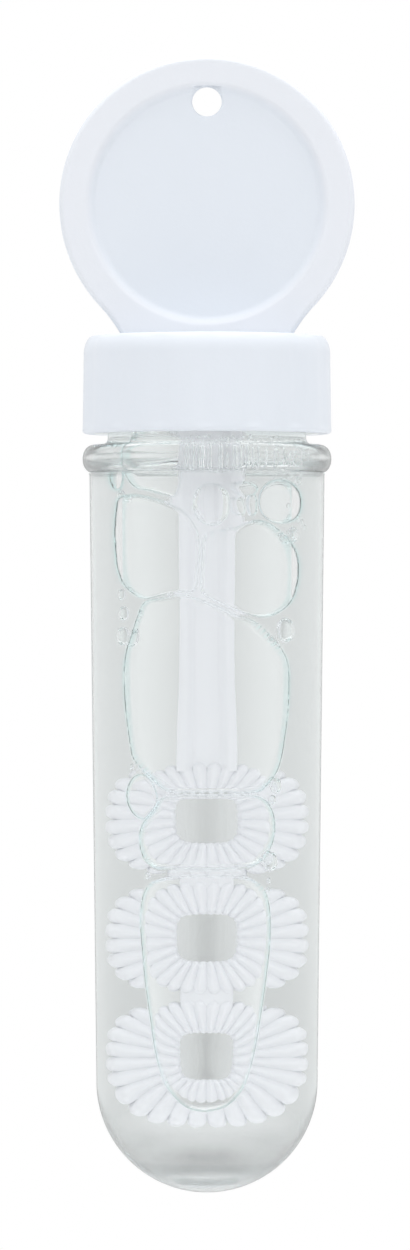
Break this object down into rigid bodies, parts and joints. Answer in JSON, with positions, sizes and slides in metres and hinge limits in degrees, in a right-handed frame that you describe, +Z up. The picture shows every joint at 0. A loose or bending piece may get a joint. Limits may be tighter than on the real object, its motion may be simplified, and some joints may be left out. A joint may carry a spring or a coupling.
{
  "type": "bubble blower",
  "caption": "Clear round-bottomed tube of bubble solution with a screw cap that carries a round hanging tag and a flat wand with ribbed rings.",
  "frame": {"origin": "centre of the tag's hanging hole, half way through the tag", "axes": "+Z up along the tube, from its round bottom to the tag; +Y through the tag, from its front face to its back face"},
  "size_m": [0.0298, 0.0254, 0.115],
  "materials": {
    "white_moulding": "satin",
    "wand_moulding": "satin",
    "soft_liner": "matte",
    "clear_plastic": "polished",
    "bubble_solution": "polished"
  },
  "bodies": {
    "cap": {"cap": "white_moulding", "bubble_wand": "wand_moulding"},
    "seal_ring": {"seal_ring": "soft_liner"},
    "tube": {"tube": "clear_plastic", "bubble_solution": "bubble_solution"}
  },
  "joints": [
    {"name": "tube_turn", "type": "hinge", "parent": "cap", "child": "seal_ring", "pos_m": [0, 0, -0.03], "axis": [0, 0, -1], "range_deg": [0, 450]},
    {"name": "tube_pull", "type": "slide", "parent": "seal_ring", "child": "tube", "axis": [0, 0, -1], "range_m": [0, 0.08], "deforming": ["bubble_solution"]}
  ]
}
